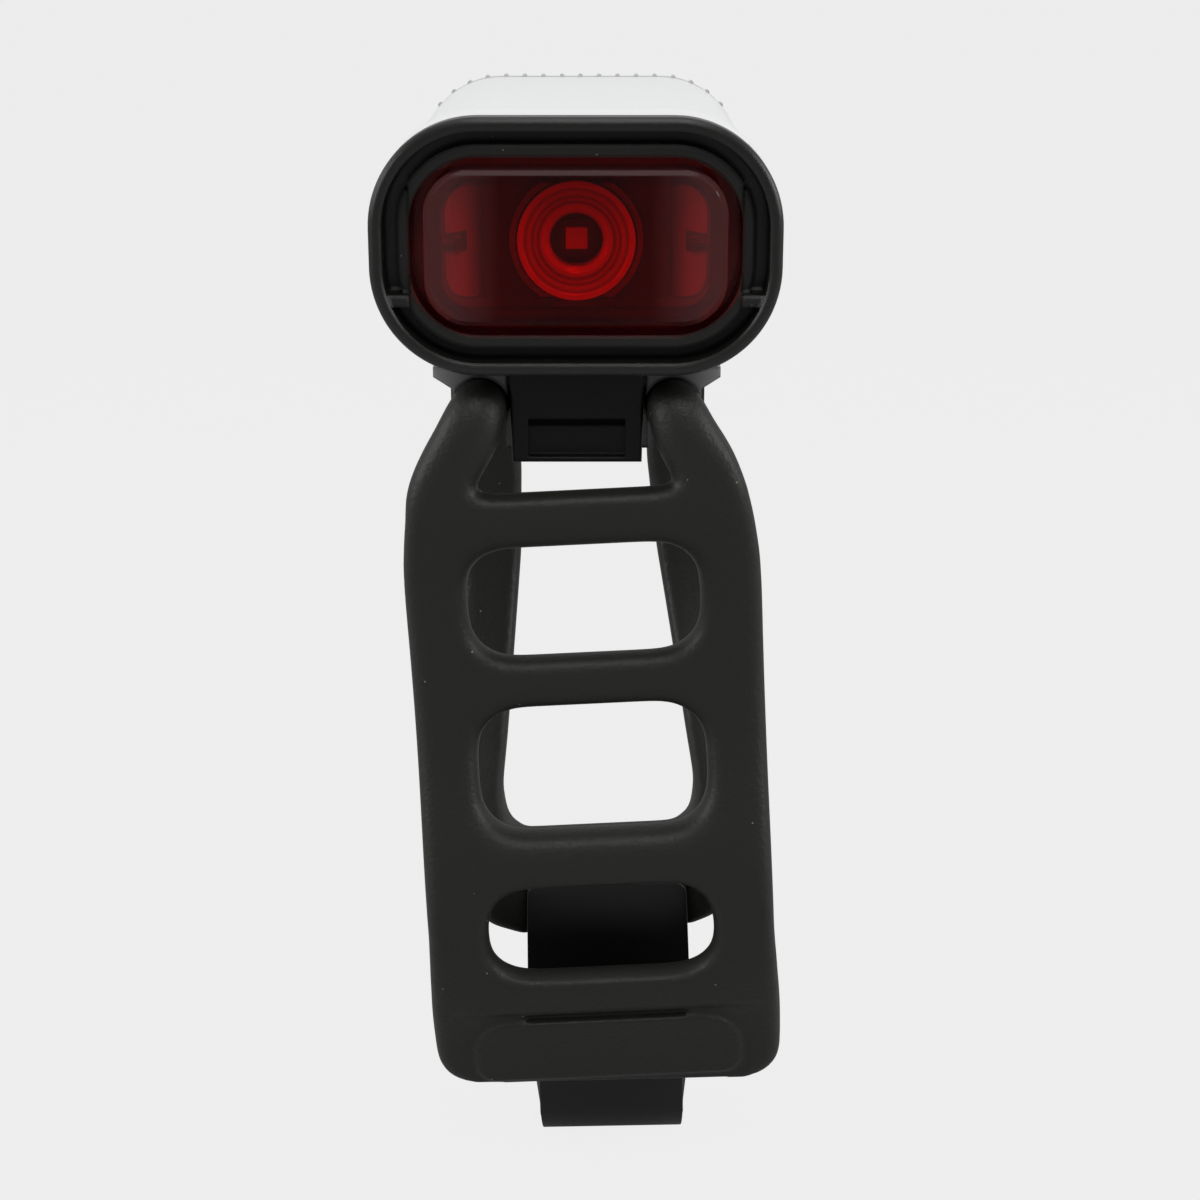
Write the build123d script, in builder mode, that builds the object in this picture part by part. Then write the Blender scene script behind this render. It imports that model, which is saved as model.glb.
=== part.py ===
from build123d import *
import math
import os

os.makedirs("parts", exist_ok=True)

# Battery light on a rubber ladder strap. Millimetres, +Z up, lens towards -Y.
# The origin is the apex of the saddle, where the top of a bar or post touches the bracket.
# Most profiles are drawn as (x, h) or (d, h): h is the distance below the middle of the
# bezel and d is the distance behind the front of the bezel.

# Head
bezel_width = 36.0
bezel_height = 22.4
bezel_corner = 9.5
bezel_depth = 9.0
head_length = 54.0
rim_width = 1.15
groove_width = 1.2
groove_depth = 3.4
ring_width = 1.1
ring_setback = 1.2
rim_rounding = 0.55
front_wall = 4.4
bezel_wall = 1.4
housing_inset = 0.65
housing_wall = 1.9
spigot_length = 2.7
spigot_clearance = 0.1
side_recess_top = -4.9
side_recess_bottom = 4.1
side_ring_setback = 2.0
ledge_height = 1.0
ledge_setback = 0.4
ring_break = 0.45

# Lens and light unit
lens_gap = 1.0
lens_side_gap = 1.35
lens_corner = 3.9
lens_wall = 1.5
lens_chamfer = 0.45
flange_thickness = 1.2
flange_clearance = 0.15
seal_thickness = 0.6
optic_radius = 5.25
optic_front = 4.7
optic_length = 2.5
optic_hole_radius = 2.35
holder_thickness = 1.0
holder_clearance = 0.2
holder_band_width = 6.6
holder_ring_wall = 0.5
ramp_start = 8.3
ramp_front = 3.2
led_size = 3.0
led_height = 0.9
die_size = 1.9
die_height = 0.45
led_board_width = 26.0
led_board_height = 13.0
led_board_thickness = 1.2
spreader_thickness = 1.8
board_screw_spacing = 21.0
board_screw_radius = 0.8
board_screw_head_radius = 1.5
board_screw_head_height = 0.8
running_gap = 0.05

# Inside the housing
board_top = -1.3
board_thickness = 1.0
board_side_gap = 0.95
board_boss_gap = 1.1
board_front = 14.0
board_tail_length = 11.4
board_rear_gap = 5.6
post_radius = 1.2
post_inset = 1.3
post_front_inset = 2.5
post_rear_inset = 2.0
post_foot = 8.0
cell_width = 23.0
cell_rear_gap = 15.4
pad_side_margin = 3.5
pad_end_margin = 1.0
boss_gap = 0.05
regulator_size = 5.0
controller_size = 4.0
chip_height = 0.9
coil_radius = 2.5
coil_height = 2.2
lead_bend = 2.2
cell_thickness = 7.6
cell_front = 12.6
pad_thickness = 0.8
lead_radius = 0.45
lead_spacing = 1.8

# Rear cap, button and charging port
cap_depth = 0.8
cap_inset = 0.4
cap_end_wall = 2.4
cap_wall = 1.6
cap_plug_length = 5.4
cap_rounding = 0.5
grip_rib_radius = 0.25
grip_rib_spacing = 2.0
grip_rib_count = 8
grip_rib_length = 1.2
grip_line_width = 0.25
grip_line_depth = 0.2
gasket_thickness = 0.4
gasket_inset = 0.35
button_width = 10.8
button_height = 4.2
button_centre = -4.5
button_proud = 0.6
button_travel = 0.5
button_clearance = 0.12
button_flange = 0.4
button_flange_thickness = 0.8
switch_width = 6.0
switch_height = 3.5
switch_length = 3.4
switch_stem_radius = 0.9
switch_stem_length = 0.8
port_centre = 1.4
port_width = 9.4
port_height = 3.6
socket_width = 8.94
socket_height = 3.26
socket_length = 7.3
socket_wall = 0.3
socket_rear_gap = 2.1
switch_rear_gap = 5.1
flap_width = 12.6
flap_height = 5.0
flap_thickness = 1.2
flap_clearance = 0.2
flap_hinge_radius = 0.6
cap_screw_side_gap = 5.8
cap_screw_end_gap = 6.0
cap_screw_radius = 0.95
cap_screw_length = 11.0
cap_screw_head_radius = 1.8
cap_screw_head_height = 1.2
boss_radius = 2.1
boss_length = 9.0

# Rail, bracket and lever
rail_neck = 6.4
rail_width = 10.0
rail_drop = 1.2
rail_flange = 1.2
rail_front = 6.6
rail_rear_gap = 17.0
rail_clearance = 0.12
plate_top = 10.65
front_plate_top = 11.4
bracket_front = 5.0
bracket_main_front = 9.3
bracket_rear_gap = 16.0
wing_half_width = 13.0
wing_bottom = 12.3
wing_chamfer_x = 11.3
wing_chamfer_h = 13.4
cord_radius = 2.5
cord_clearance = 0.1
cord_x = 8.7
cord_h = 15.0
cord_front = 5.2
cord_rear = 37.8
channel_front = 12.0
channel_wall_x = 11.9
channel_wall_bottom = 16.6
neck_half_width = 6.0
neck_front = 7.8
saddle_apex = 18.1
saddle_radius = 60.0
neck_bottom = 21.0
lever_half_width = 6.1
lever_front = 4.0
lever_thickness = 2.2
lever_top = 11.5
lever_bottom = 20.0
lever_side_gap = 0.2
lever_pivot_d = 11.7
lever_pivot_h = 15.6
lever_lug_width = 4.0
lever_lug_top = 14.3
lever_lug_bottom = 16.4
lever_lug_radius = 1.5
pocket_half_width = 4.4
pocket_top = 16.4
pocket_bottom = 19.4
pocket_depth = 0.9
pin_radius = 0.75
pin_clearance = 0.05
spring_radius = 1.25
spring_wire = 0.35
spring_x = 3.9
spring_h = 17.0
spring_seat_depth = 2.4

# Strap and hook
strap_lean = 2.9
lean_pivot = 22.0
strap_thickness = 3.6
strap_half_width = 16.5
strap_end_half_width = 17.1
window_half_width = 11.0
window_corner = 4.2
strap_end = 84.2
strap_end_slope = 0.5
strap_end_corner = 3.4
first_rung_top = 22.5
strap_rounding = 0.9
pull_groove_half_width = 8.0
pull_groove_height = 0.7
pull_groove_depth = 0.6
pull_pad_half_width = 13.2
pull_pad_height = 7.5
pull_pad_corner = 4.0
pull_pad_inset = 0.8
pull_pad_depth = 0.5
back_thickness = 3.4
back_end = 71.4
hook_width = 16.4
hook_neck_width = 14.3
hook_tip_width = 16.8
hook_shift = 2.75
hook_lean = 1.2
hook_thickness = 2.0
hook_top = 64.2
hook_front_top = 8.2
hook_front_bottom = 9.8
hook_plate_length = 25.7
hook_throat = 5.3
hook_tip_rise = 4.9
hook_tip_spread = 0.8
hook_corner = 1.2
hook_stud_radius = 1.4
hook_stud_spacing = 8.0
hook_stud_length = 2.6

front_y = -21.0
axis_z = saddle_apex
cap_screw_x = bezel_width / 2 - cap_screw_side_gap
cap_screw_h = bezel_height / 2 - cap_screw_end_gap
board_tail_width = 2 * (cap_screw_x - boss_radius - board_boss_gap)
hook_bend_h = hook_top + hook_plate_length
hook_tip_h = hook_bend_h - hook_tip_rise
hook_waist = hook_top + 0.46 * hook_plate_length
board_rear = head_length - board_rear_gap
board_tail_start = board_rear - board_tail_length
board_width = bezel_width - 2 * (housing_inset + housing_wall + board_side_gap)
post_spacing = board_width - 2 * post_inset
post_front = board_front + post_front_inset
post_rear = board_tail_start - post_rear_inset
switch_rear = head_length - switch_rear_gap
socket_rear = head_length - socket_rear_gap
rail_rear = head_length - rail_rear_gap
bracket_rear = head_length - bracket_rear_gap
cell_length = head_length - cell_rear_gap - cell_front
plug_front = head_length - cap_depth - cap_plug_length


def across(d):
    """Upright plane across the light at d behind the bezel's front: x is X, y is h downwards."""
    return Plane(origin=(0, front_y + d, axis_z), x_dir=(1, 0, 0), z_dir=(0, 1, 0))


def beside(x=0):
    """Upright plane along the light at x: its x is d backwards and its y is h downwards."""
    return Plane(origin=(x, front_y, axis_z), x_dir=(0, 1, 0), z_dir=(-1, 0, 0))


def level(h):
    """Level plane at h below the bezel's middle: x is X and y is d. It extrudes upwards."""
    return Plane(origin=(0, front_y, axis_z - h), x_dir=(1, 0, 0), z_dir=(0, 0, 1))


def bezel_outline(inset, mode=Mode.ADD):
    """The bezel's rounded outline drawn in by inset."""
    RectangleRounded(
        bezel_width - 2 * inset, bezel_height - 2 * inset, bezel_corner - inset, mode=mode
    )


def housing_outline(inset, mode=Mode.ADD):
    """The housing's rounded outline drawn in by inset."""
    bezel_outline(housing_inset + inset, mode)


def mirrored_pairs(x, heights):
    """Places at plus and minus x for each height."""
    return [(side * x, h) for h in heights for side in (-1, 1)]


housing_half_height = bezel_height / 2 - housing_inset
opening_inset = rim_width + groove_width + ring_width
ring_outer_inset = rim_width + groove_width
lens_flange_front = front_wall + seal_thickness
lens_flange_rear = lens_flange_front + flange_thickness
spigot_front = lens_flange_rear + running_gap
housing_rear = head_length - cap_depth - gasket_thickness
cap_front = head_length - cap_depth
floor_h = housing_half_height - housing_wall

# Front bezel: outer rim, groove, inner ring set back, side recesses with a ledge
with BuildPart() as front_bezel:
    with BuildSketch(across(0)):
        bezel_outline(0)
    extrude(amount=bezel_depth)
    front_edges = front_bezel.faces().sort_by(Axis.Y)[0].edges()
    fillet(front_edges, rim_rounding)
    with BuildSketch(across(0)):
        bezel_outline(rim_width)
        bezel_outline(ring_outer_inset, mode=Mode.SUBTRACT)
    extrude(amount=groove_depth, mode=Mode.SUBTRACT)
    with BuildSketch(across(0)):
        bezel_outline(rim_width)
    extrude(amount=ring_setback, mode=Mode.SUBTRACT)
    with BuildSketch(across(0)):
        bezel_outline(opening_inset)
    extrude(amount=front_wall, mode=Mode.SUBTRACT)
    with BuildSketch(across(front_wall)):
        bezel_outline(bezel_wall)
    extrude(amount=bezel_depth - front_wall, mode=Mode.SUBTRACT)
    recess_height = side_recess_bottom - side_recess_top
    recess_middle = (side_recess_bottom + side_recess_top) / 2
    recess_x = bezel_width / 2 - opening_inset + ring_width / 2
    with BuildSketch(across(ring_setback)):
        with Locations(*mirrored_pairs(recess_x, [recess_middle])):
            Rectangle(ring_width + 2 * running_gap, recess_height)
    extrude(amount=side_ring_setback - ring_setback, mode=Mode.SUBTRACT)
    break_centres = [
        side_recess_top - ring_break / 2,
        side_recess_bottom + ledge_height + ring_break / 2,
    ]
    with BuildSketch(across(ring_setback)):
        with Locations(*mirrored_pairs(recess_x, break_centres)):
            Rectangle(ring_width + 2 * running_gap, ring_break)
    extrude(amount=groove_depth - ring_setback, mode=Mode.SUBTRACT)
    ledge_x = bezel_width / 2 - rim_width - (groove_width + ring_width) / 2
    with BuildSketch(across(ledge_setback)):
        with Locations(*mirrored_pairs(ledge_x, [side_recess_bottom + ledge_height / 2])):
            Rectangle(groove_width + ring_width, ledge_height)
    extrude(amount=groove_depth - ledge_setback + running_gap)
front_bezel.part.label = "front_bezel"
export_step(front_bezel.part, "parts/front_bezel.step")

# Cover lens: a hollow block with a flange, standing proud of the ring
lens_inset = opening_inset + lens_gap
lens_width = bezel_width - 2 * (opening_inset + lens_side_gap)
lens_height = bezel_height - 2 * lens_inset
cavity_width = lens_width - 2 * lens_wall
cavity_height = lens_height - 2 * lens_wall
with BuildPart() as lens:
    with BuildSketch(across(0)):
        RectangleRounded(lens_width, lens_height, lens_corner)
    extrude(amount=lens_flange_front)
    chamfer(lens.faces().sort_by(Axis.Y)[0].edges(), lens_chamfer)
    with BuildSketch(across(lens_flange_front)):
        bezel_outline(bezel_wall + flange_clearance)
    extrude(amount=flange_thickness)
    with BuildSketch(across(lens_wall)):
        RectangleRounded(cavity_width, cavity_height, lens_corner - lens_wall)
    extrude(amount=lens_flange_rear - lens_wall, mode=Mode.SUBTRACT)
    key_length = 1.3
    key_height = 0.6
    key_head = 1.5
    with BuildSketch(across(lens_wall)):
        with Locations(*mirrored_pairs(cavity_width / 2 - key_length / 2, [0])):
            Rectangle(key_length, key_height)
        with Locations(*mirrored_pairs(cavity_width / 2 - key_length, [0])):
            Rectangle(key_height, key_head)
    extrude(amount=lens_wall)
lens.part.label = "lens"
export_step(lens.part, "parts/lens.step")

# Rubber ring between the lens flange and the bezel's front wall
with BuildPart() as lens_seal:
    with BuildSketch(across(front_wall)):
        bezel_outline(bezel_wall + flange_clearance)
        bezel_outline(opening_inset - running_gap, mode=Mode.SUBTRACT)
    extrude(amount=seal_thickness)
lens_seal.part.label = "lens_seal"
export_step(lens_seal.part, "parts/lens_seal.step")

# Round collimator: stepped rings round an open middle, turned about the light's axis
optic_rear = optic_front + optic_length
optic_step_radius = 3.3
optic_rear_radius = 3.9
with BuildPart() as optic:
    with BuildSketch(beside()):
        with BuildLine():
            Polyline(
                (optic_front, optic_radius),
                (optic_front + 0.8, optic_radius),
                (optic_rear, optic_rear_radius),
                (optic_rear, optic_hole_radius),
                (optic_front + 1.0, optic_hole_radius),
                (optic_front + 0.6, optic_step_radius - 0.35),
                (optic_front + 0.6, optic_step_radius),
                (optic_front + 0.3, optic_step_radius),
                (optic_front + 0.15, optic_radius - 0.6),
                (optic_front, optic_radius - 0.4),
                (optic_front, optic_radius),
            )
        make_face()
    revolve(axis=Axis((0, front_y, axis_z), (0, 1, 0)))
optic.part.label = "optic"
export_step(optic.part, "parts/optic.step")

# Holder behind the lens: base plate, band and ring round the optic, ramps at both ends
holder_front = spigot_front + spigot_length / 4
led_board_front = holder_front + holder_thickness
holder_inset = housing_inset + housing_wall + holder_clearance
band_front = optic_front + 0.7
with BuildPart() as optic_holder:
    with BuildSketch(level(cavity_height / 2 - holder_clearance)):
        ramp_end = cavity_width / 2 - holder_clearance
        for side in (-1, 1):
            with BuildLine():
                Polyline(
                    (side * ramp_start, holder_front),
                    (side * ramp_end, holder_front),
                    (side * ramp_end, ramp_front),
                    (side * (ramp_end - holder_ring_wall), ramp_front),
                    (side * ramp_start, holder_front),
                )
            make_face()
    extrude(amount=cavity_height - 2 * holder_clearance)
    with BuildSketch(across(ramp_front)):
        RectangleRounded(
            2 * ramp_end, cavity_height - 2 * holder_clearance, lens_corner - lens_wall
        )
    extrude(amount=holder_front - ramp_front, mode=Mode.INTERSECT)
    with BuildSketch(across(holder_front)):
        bezel_outline(holder_inset)
    extrude(amount=holder_thickness)
    with BuildSketch(across(band_front)):
        Rectangle(holder_band_width, cavity_height - 2 * holder_clearance)
        Circle(optic_radius + holder_clearance + holder_ring_wall)
        Rectangle(bezel_width, cavity_height - 2 * holder_clearance, mode=Mode.INTERSECT)
    extrude(amount=holder_front - band_front)
    with BuildSketch(across(band_front)):
        Circle(optic_radius + holder_clearance)
    extrude(amount=holder_front - band_front, mode=Mode.SUBTRACT)
    with BuildSketch(across(holder_front)):
        Circle(optic_rear_radius + holder_clearance + holder_ring_wall)
    extrude(amount=holder_thickness, mode=Mode.SUBTRACT)
    key_room = key_length + holder_clearance + holder_ring_wall
    with BuildSketch(across(ramp_front)):
        with Locations(*mirrored_pairs(cavity_width / 2 - key_room / 2, [0])):
            Rectangle(key_room, key_head + 2 * holder_clearance)
    extrude(amount=holder_front - ramp_front, mode=Mode.SUBTRACT)
    with BuildSketch(across(led_board_front)):
        with Locations(*mirrored_pairs(board_screw_spacing / 2, [0])):
            Circle(board_screw_head_radius + holder_clearance)
    extrude(amount=-(board_screw_head_height + holder_clearance / 2), mode=Mode.SUBTRACT)
optic_holder.part.label = "optic_holder"
export_step(optic_holder.part, "parts/optic_holder.step")

# Light source: package and raised die window
with BuildPart() as led:
    with BuildSketch(across(led_board_front)):
        RectangleRounded(led_size, led_size, led_size / 10)
    extrude(amount=-led_height)
    with BuildSketch(across(led_board_front - led_height)):
        Rectangle(die_size, die_size)
    extrude(amount=-die_height)
led.part.label = "led"
export_step(led.part, "parts/led.step")

# Metal-core board with its two screw holes
spreader_front = led_board_front + led_board_thickness
with BuildPart() as led_board:
    with BuildSketch(across(led_board_front)):
        RectangleRounded(led_board_width, led_board_height, 1.5)
        with Locations(*mirrored_pairs(board_screw_spacing / 2, [0])):
            Circle(board_screw_radius + running_gap, mode=Mode.SUBTRACT)
    extrude(amount=led_board_thickness)
led_board.part.label = "led_board"
export_step(led_board.part, "parts/led_board.step")

# Aluminium spreader with tapped holes and a notch for the wires
notch_width = 6.0
notch_depth = 3.6
with BuildPart() as heat_spreader:
    with BuildSketch(across(spreader_front)):
        bezel_outline(holder_inset)
        with Locations(*mirrored_pairs(board_screw_spacing / 2, [0])):
            Circle(board_screw_radius + running_gap, mode=Mode.SUBTRACT)
        with Locations((0, -(bezel_height / 2 - holder_inset - notch_depth / 2))):
            Rectangle(notch_width, notch_depth, mode=Mode.SUBTRACT)
    extrude(amount=spreader_thickness)
heat_spreader.part.label = "heat_spreader"
export_step(heat_spreader.part, "parts/heat_spreader.step")

# Two screws through the board into the spreader
with BuildPart() as board_screws:
    with BuildSketch(across(led_board_front)):
        with Locations(*mirrored_pairs(board_screw_spacing / 2, [0])):
            Circle(board_screw_head_radius)
    extrude(amount=-board_screw_head_height)
    with BuildSketch(across(led_board_front)):
        with Locations(*mirrored_pairs(board_screw_spacing / 2, [0])):
            Circle(board_screw_radius)
    extrude(amount=led_board_thickness + spreader_thickness)
board_screws.part.label = "board_screws"
export_step(board_screws.part, "parts/board_screws.step")

# Wires from the light board to the main board
lead_h = -(led_board_height / 2 - 2 * lead_radius)
with BuildPart() as led_leads:
    for side in (-1, 1):
        lead_x = side * lead_spacing / 2
        with BuildLine(beside(lead_x)) as lead_path:
            FilletPolyline(
                (spreader_front, lead_h),
                (spreader_front + 4.0, lead_h),
                (board_front + 2.0, board_top - 2.0),
                (board_front + 2.0, board_top),
                radius=1.0,
            )
        with BuildSketch(Plane(lead_path.line @ 0, z_dir=lead_path.line % 0)):
            Circle(lead_radius)
        sweep(path=lead_path.line)
led_leads.part.label = "led_leads"
export_step(led_leads.part, "parts/led_leads.step")


def housing_shell():
    """The closed outline of both housing halves with the front spigot, open right through."""
    with BuildSketch(across(bezel_depth)) as body:
        housing_outline(0)
    extrude(body.sketch, amount=housing_rear - bezel_depth)
    with BuildSketch(across(spigot_front)) as spigot:
        bezel_outline(bezel_wall + spigot_clearance)
    extrude(spigot.sketch, amount=bezel_depth - spigot_front)
    with BuildSketch(across(spigot_front)) as room:
        housing_outline(housing_wall)
    extrude(room.sketch, amount=housing_rear - spigot_front, mode=Mode.SUBTRACT)


def screw_bosses(h):
    """Two bosses for the cap screws in the corners of one housing half."""
    boss_rear = plug_front - boss_gap
    with BuildSketch(across(boss_rear - boss_length)) as bosses:
        with Locations(*mirrored_pairs(cap_screw_x, [h])):
            Circle(boss_radius)
        with Locations(*mirrored_pairs(cap_screw_x + boss_radius / 2, [h])):
            Rectangle(2 * boss_radius, boss_radius)
        with Locations(*mirrored_pairs(cap_screw_x, [h * 1.2])):
            Rectangle(boss_radius, 2 * boss_radius)
        housing_outline(housing_wall / 2, mode=Mode.INTERSECT)
        with Locations(*mirrored_pairs(cap_screw_x, [h])):
            Circle(cap_screw_radius + running_gap, mode=Mode.SUBTRACT)
    extrude(bosses.sketch, amount=boss_length)


def grip_places():
    """Places round the top of the housing's outline, a rib apart, for the grip ribs."""
    flat = bezel_width / 2 - bezel_corner
    radius = bezel_corner - housing_inset
    places = [(0, -housing_half_height)]
    for number in range(1, grip_rib_count + 1):
        run = number * grip_rib_spacing
        turn = max(run - flat, 0) / radius
        x = min(run, flat) + radius * math.sin(turn)
        h = -housing_half_height + radius * (1 - math.cos(turn))
        places += [(x, h), (-x, h)]
    return places


# Glossy white upper half of the housing, with a fine line and grip ribs at its rear edge
with BuildPart() as upper_housing:
    housing_shell()
    screw_bosses(-cap_screw_h)
    split(bisect_by=Plane.XY.offset(axis_z), keep=Keep.TOP)
    with BuildSketch(across(housing_rear - grip_rib_length - 2 * grip_line_width)):
        housing_outline(-1)
        housing_outline(grip_line_depth, mode=Mode.SUBTRACT)
    extrude(amount=grip_line_width, mode=Mode.SUBTRACT)
    with BuildSketch(across(housing_rear - grip_rib_length)):
        with Locations(*grip_places()):
            Circle(grip_rib_radius)
    extrude(amount=grip_rib_length)
upper_housing.part.label = "upper_housing"
export_step(upper_housing.part, "parts/upper_housing.step")

# Black lower half: posts for the main board and the rail that slides into the bracket
rail_flange_top = housing_half_height + rail_drop
rail_bottom = rail_flange_top + rail_flange
with BuildPart() as lower_housing:
    housing_shell()
    screw_bosses(cap_screw_h)
    split(bisect_by=Plane.XY.offset(axis_z), keep=Keep.BOTTOM)
    with BuildSketch(level(post_foot)):
        with Locations(*mirrored_pairs(post_spacing / 2, [post_front, post_rear])):
            Circle(post_radius)
    extrude(amount=post_foot - board_top - board_thickness)
    with BuildSketch(across(bezel_depth)):
        with Locations((0, housing_half_height + rail_drop / 2 - running_gap)):
            Rectangle(rail_neck, rail_drop + 2 * running_gap)
    extrude(amount=rail_rear - bezel_depth)
    with BuildSketch(across(rail_front)):
        with Locations((0, (bezel_height / 2 + spigot_clearance + rail_flange_top) / 2)):
            Rectangle(rail_neck, rail_flange_top - bezel_height / 2 - spigot_clearance)
    extrude(amount=bezel_depth - rail_front)
    with BuildSketch(across(rail_front)):
        with Locations((0, rail_flange_top + rail_flange / 2)):
            Rectangle(rail_width, rail_flange)
    extrude(amount=rail_rear - rail_front)
lower_housing.part.label = "lower_housing"
export_step(lower_housing.part, "parts/lower_housing.step")

# Battery cell on its foam pad
cell_bottom = floor_h - pad_thickness
with BuildPart() as battery_cell:
    with BuildSketch(across(cell_front)):
        with Locations((0, cell_bottom - cell_thickness / 2)):
            RectangleRounded(cell_width, cell_thickness, 1.5)
    extrude(amount=cell_length)
battery_cell.part.label = "battery_cell"
export_step(battery_cell.part, "parts/battery_cell.step")

with BuildPart() as battery_pad:
    with BuildSketch(level(floor_h)):
        with Locations((0, cell_front + cell_length / 2)):
            RectangleRounded(cell_width - 2 * pad_side_margin, cell_length - 2 * pad_end_margin, 1.0)
    extrude(amount=pad_thickness)
battery_pad.part.label = "battery_pad"
export_step(battery_pad.part, "parts/battery_pad.step")

# Main board with a narrow tail and its larger components
with BuildPart() as main_board:
    with BuildSketch(level(board_top + board_thickness)):
        with BuildLine():
            Polyline(
                (-board_width / 2, board_front),
                (board_width / 2, board_front),
                (board_width / 2, board_tail_start),
                (board_tail_width / 2, board_tail_start),
                (board_tail_width / 2, board_rear),
                (-board_tail_width / 2, board_rear),
                (-board_tail_width / 2, board_tail_start),
                (-board_width / 2, board_tail_start),
                (-board_width / 2, board_front),
            )
        make_face()
    extrude(amount=board_thickness)
    chip_x = board_tail_width / 3
    chip_d = board_front + board_tail_length * 0.8
    with BuildSketch(level(board_top)):
        with Locations((-chip_x, chip_d)):
            Rectangle(regulator_size, regulator_size)
        with Locations((chip_x, chip_d)):
            Rectangle(controller_size, controller_size)
    extrude(amount=chip_height)
    with BuildSketch(level(board_top)):
        with Locations((0, board_tail_start - 2 * coil_radius)):
            Circle(coil_radius)
    extrude(amount=coil_height)
main_board.part.label = "main_board"
export_step(main_board.part, "parts/main_board.step")

# Wires from the cell up to the underside of the main board
with BuildPart() as battery_leads:
    for side in (-1, 1):
        lead_x = side * (board_tail_width / 2 - 2 * lead_radius)
        with BuildLine(beside(lead_x)) as lead_path:
            FilletPolyline(
                (cell_front + cell_length, cell_bottom - cell_thickness / 2),
                (cell_front + cell_length + lead_bend, cell_bottom - cell_thickness / 2),
                (cell_front + cell_length + lead_bend, board_top + board_thickness),
                radius=1.2,
            )
        with BuildSketch(Plane(lead_path.line @ 0, z_dir=lead_path.line % 0)):
            Circle(lead_radius)
        sweep(path=lead_path.line)
battery_leads.part.label = "battery_leads"
export_step(battery_leads.part, "parts/battery_leads.step")

# Side-acting switch on the board's tail
with BuildPart() as tact_switch:
    with BuildSketch(across(switch_rear - switch_length)):
        with Locations((0, board_top - switch_height / 2)):
            Rectangle(switch_width, switch_height)
    extrude(amount=switch_length)
    with BuildSketch(across(switch_rear)):
        with Locations((0, board_top - switch_height * 0.62)):
            Circle(switch_stem_radius)
    extrude(amount=switch_stem_length)
tact_switch.part.label = "tact_switch"
export_step(tact_switch.part, "parts/tact_switch.step")

# Charging socket under the board's tail: folded shell with its tongue
with BuildPart() as usb_socket:
    with BuildSketch(across(socket_rear - socket_length)):
        with Locations((0, port_centre)):
            SlotOverall(socket_width, socket_height)
    extrude(amount=socket_length)
    with BuildSketch(across(socket_rear)):
        with Locations((0, port_centre)):
            SlotOverall(socket_width - 2 * socket_wall, socket_height - 2 * socket_wall)
    extrude(amount=-(socket_length - 1.0), mode=Mode.SUBTRACT)
    with BuildSketch(across(socket_rear - socket_length + 0.5)):
        with Locations((0, port_centre)):
            Rectangle(socket_width * 0.75, 0.7)
    extrude(amount=socket_length - 1.5)
usb_socket.part.label = "usb_socket"
export_step(usb_socket.part, "parts/usb_socket.step")

# Flat gasket between housing and rear cap
with BuildPart() as rear_cap_seal:
    with BuildSketch(across(housing_rear)):
        housing_outline(gasket_inset)
        housing_outline(housing_wall, mode=Mode.SUBTRACT)
    extrude(amount=gasket_thickness)
rear_cap_seal.part.label = "rear_cap_seal"
export_step(rear_cap_seal.part, "parts/rear_cap_seal.step")

# Rear cap: set in a little, with a plug into the housing, button slot, port and flap recess
end_wall_front = head_length - cap_end_wall
flap_top = port_centre - flap_height / 2
flap_hinge_h = flap_top + flap_hinge_radius
flap_recess_front = head_length - flap_thickness
flap_hinge_d = head_length - flap_hinge_radius
with BuildPart() as rear_cap:
    with BuildSketch(across(cap_front)):
        housing_outline(cap_inset)
    extrude(amount=cap_depth)
    fillet(rear_cap.faces().sort_by(Axis.Y)[-1].edges(), cap_rounding)
    with BuildSketch(across(plug_front)):
        housing_outline(housing_wall + spigot_clearance)
    extrude(amount=cap_plug_length)
    with BuildSketch(across(plug_front)):
        housing_outline(housing_wall + cap_wall)
    extrude(amount=end_wall_front - plug_front, mode=Mode.SUBTRACT)
    with BuildSketch(across(plug_front)):
        with Locations(*mirrored_pairs(cap_screw_x, [-cap_screw_h, cap_screw_h])):
            Circle(boss_radius)
        housing_outline(housing_wall + spigot_clearance, mode=Mode.INTERSECT)
    extrude(amount=end_wall_front - plug_front)
    with BuildSketch(across(head_length)):
        with Locations(*mirrored_pairs(cap_screw_x, [-cap_screw_h, cap_screw_h])):
            Circle(cap_screw_head_radius + running_gap * 2)
    extrude(amount=-cap_screw_head_height, mode=Mode.SUBTRACT)
    with BuildSketch(across(head_length)):
        with Locations(*mirrored_pairs(cap_screw_x, [-cap_screw_h, cap_screw_h])):
            Circle(cap_screw_radius + running_gap)
    extrude(amount=-(cap_depth + cap_plug_length), mode=Mode.SUBTRACT)
    with BuildSketch(across(head_length)):
        with Locations((0, button_centre)):
            SlotOverall(button_width + 2 * button_clearance, button_height + 2 * button_clearance)
        with Locations((0, port_centre)):
            SlotOverall(port_width, port_height)
    extrude(amount=-cap_end_wall, mode=Mode.SUBTRACT)
    with BuildSketch(across(head_length)):
        with Locations((0, port_centre)):
            RectangleRounded(flap_width + 2 * flap_clearance, flap_height + 2 * flap_clearance, 0.25)
    extrude(amount=-(flap_thickness + flap_clearance), mode=Mode.SUBTRACT)
rear_cap.part.label = "rear_cap"
export_step(rear_cap.part, "parts/rear_cap.step")

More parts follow.
